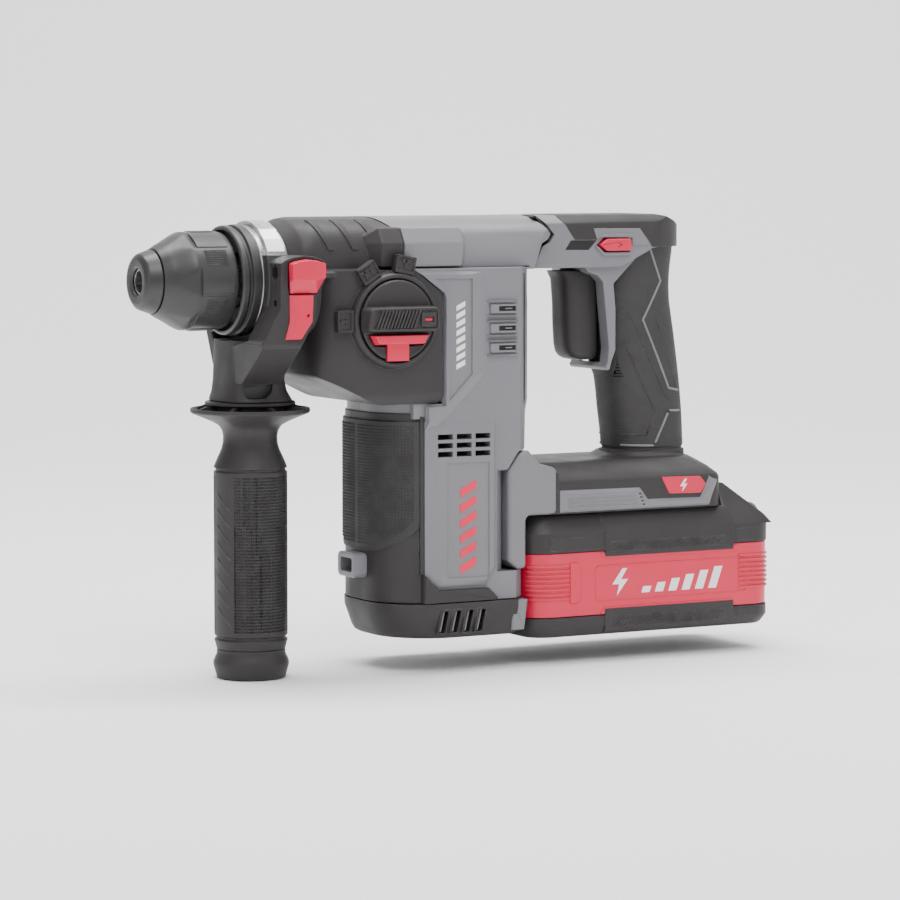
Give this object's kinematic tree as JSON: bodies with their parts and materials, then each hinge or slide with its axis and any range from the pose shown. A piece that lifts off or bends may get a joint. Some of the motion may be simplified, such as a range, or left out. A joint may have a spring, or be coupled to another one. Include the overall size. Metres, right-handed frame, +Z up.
{
  "type": "rotary hammer",
  "caption": "Cordless rotary hammer with upright motor, D-shaped rear handle, side handle, mode knob and slide-on battery, for drilling and chiselling masonry.",
  "frame": {"origin": "middle of the object's plan, level with its lowest point, the end of the side handle", "axes": "+X back from the chuck along the spindle to the battery, +Y to the user's right, +Z up"},
  "size_m": [0.326, 0.083, 0.2145],
  "materials": {
    "black_plastic": "fine matt moulded texture",
    "grey_plastic": "fine matt moulded texture",
    "rubber": "soft matt overmould with a fine grid",
    "red_plastic": "satin red",
    "steel": "ground",
    "dark_steel": "hardened, blackened",
    "aluminium": "die-cast",
    "copper": "enamelled winding",
    "brass": "sintered bush",
    "circuit": "potted board",
    "cell": "shrink sleeve",
    "indicator": "translucent green"
  },
  "bodies": {
    "root": {"gear_housing": "black_plastic", "dust_shield": "rubber", "front_collar": "steel", "front_seal": "rubber", "spindle_front_bearing": "steel", "spindle_rear_bearing": "brass", "bearing_bracket": "aluminium", "gear_plate": "aluminium", "crank_bearing": "steel", "motor_upper_bearing": "steel", "motor_lower_bearing": "steel", "motor_stator": "copper", "housing_left": "grey_plastic", "housing_right": "grey_plastic", "housing_screw_1": "dark_steel", "housing_screw_2": "dark_steel", "housing_screw_3": "dark_steel", "motor_base_cap": "grey_plastic", "front_pad": "rubber", "strap_loop": "grey_plastic", "isolation_gasket": "rubber", "handle_left": "black_plastic", "handle_right": "black_plastic", "trigger_switch": "black_plastic", "control_board": "circuit", "terminal_block": "black_plastic"},
    "spindle": {"spindle": "steel", "nose_cap": "rubber", "locking_ball_upper": "steel", "locking_ball_lower": "steel", "ring_bevel_gear": "dark_steel", "chuck_spring": "steel"},
    "chuck_sleeve": {"chuck_sleeve": "rubber"},
    "impact_bolt": {"impact_bolt": "dark_steel"},
    "striker": {"striker": "dark_steel"},
    "piston": {"piston": "aluminium", "wrist_pin": "steel"},
    "connecting_rod": {"connecting_rod": "dark_steel"},
    "crank": {"crank_gear": "steel"},
    "bevel_shaft": {"bevel_pinion_shaft": "dark_steel", "intermediate_gear": "steel"},
    "rotor": {"motor_rotor": "dark_steel", "motor_pinion": "steel", "motor_fan": "black_plastic"},
    "mode_knob": {"mode_knob": "black_plastic"},
    "knob_button": {"knob_lock_button": "red_plastic"},
    "side_clamp": {"aux_clamp": "black_plastic", "clamp_band": "steel", "clamp_trim": "red_plastic"},
    "depth_button": {"depth_lock_button": "red_plastic"},
    "side_grip": {"aux_grip": "rubber", "aux_grip_cap": "rubber"},
    "trigger": {"trigger": "black_plastic"},
    "direction_lever": {"direction_lever": "red_plastic"},
    "battery": {"battery_top_case": "black_plastic", "battery_case": "red_plastic", "battery_base": "black_plastic", "battery_cell_pack": "cell", "battery_gauge": "indicator"},
    "battery_latch": {"battery_latch": "red_plastic"}
  },
  "joints": [
    {"name": "rotor_spin", "type": "hinge", "parent": "root", "child": "rotor", "pos_m": [-0.018, 0.0055, 0.0845], "axis": [0, 0, 1], "continuous": true},
    {"name": "crank_spin", "type": "hinge", "parent": "root", "child": "crank", "pos_m": [0, 0.0055, 0.1485], "axis": [0, 0, 1], "continuous": true},
    {"name": "bevel_shaft_spin", "type": "hinge", "parent": "root", "child": "bevel_shaft", "pos_m": [-0.036, 0.0055, 0.1485], "axis": [0, 0, 1], "continuous": true},
    {"name": "spindle_spin", "type": "hinge", "parent": "root", "child": "spindle", "pos_m": [-0.163, 0.0055, 0.1845], "axis": [1, 0, 0], "continuous": true},
    {"name": "chuck_sleeve_slide", "type": "slide", "parent": "spindle", "child": "chuck_sleeve", "axis": [1, 0, 0], "range_m": [0, 0.006], "stiffness_N_per_m": 1500, "springref_m": -0.002, "deforming": ["chuck_spring"]},
    {"name": "impact_bolt_slide", "type": "slide", "parent": "spindle", "child": "impact_bolt", "axis": [1, 0, 0], "range_m": [-0.0033, 0]},
    {"name": "striker_slide", "type": "slide", "parent": "spindle", "child": "striker", "axis": [1, 0, 0], "range_m": [-0.002, 0.0044]},
    {"name": "piston_slide", "type": "slide", "parent": "root", "child": "piston", "axis": [1, 0, 0], "range_m": [0, 0.016]},
    {"name": "rod_swing", "type": "hinge", "parent": "piston", "child": "connecting_rod", "pos_m": [-0.035, 0.0055, 0.1845], "axis": [0, 0, 1], "range_deg": [-17, 17]},
    {"name": "mode_knob_turn", "type": "hinge", "parent": "root", "child": "mode_knob", "pos_m": [-0.0488, -0.0295, 0.166], "axis": [0, 1, 0], "range_deg": [0, 101]},
    {"name": "knob_button_press", "type": "slide", "parent": "mode_knob", "child": "knob_button", "axis": [0, 1, 0], "range_m": [0, 0.0018], "stiffness_N_per_m": 800, "springref_m": -0.001},
    {"name": "side_handle_swivel", "type": "hinge", "parent": "root", "child": "side_clamp", "pos_m": [-0.1035, 0.0055, 0.1845], "axis": [1, 0, 0], "range_deg": [-180, 180]},
    {"name": "depth_button_press", "type": "slide", "parent": "side_clamp", "child": "depth_button", "axis": [0, 1, 0], "range_m": [0, 0.0028], "stiffness_N_per_m": 800, "springref_m": -0.001},
    {"name": "side_grip_screw", "type": "hinge", "parent": "side_clamp", "child": "side_grip", "pos_m": [-0.1055, 0.0055, 0.0845], "axis": [0, 0, 1], "range_deg": [0, 720]},
    {"name": "trigger_pull", "type": "slide", "parent": "root", "child": "trigger", "axis": [1, 0, 0], "range_m": [0, 0.007], "stiffness_N_per_m": 900, "springref_m": -0.002},
    {"name": "direction_lever_slide", "type": "slide", "parent": "root", "child": "direction_lever", "axis": [0, 1, 0], "range_m": [-0.002, 0.002]},
    {"name": "battery_slide", "type": "slide", "parent": "root", "child": "battery", "axis": [1, 0, 0], "range_m": [0, 0.12]},
    {"name": "battery_latch_press", "type": "slide", "parent": "battery", "child": "battery_latch", "axis": [0.7709, 0, -0.637], "range_m": [0, 0.003], "stiffness_N_per_m": 800, "springref_m": -0.001}
  ],
  "couplings": [
    {"joint": "crank_spin", "follows": "rotor_spin", "ratio": -0.28571},
    {"joint": "bevel_shaft_spin", "follows": "rotor_spin", "ratio": -0.28571},
    {"joint": "spindle_spin", "follows": "rotor_spin", "ratio": 0.095238}
  ]
}
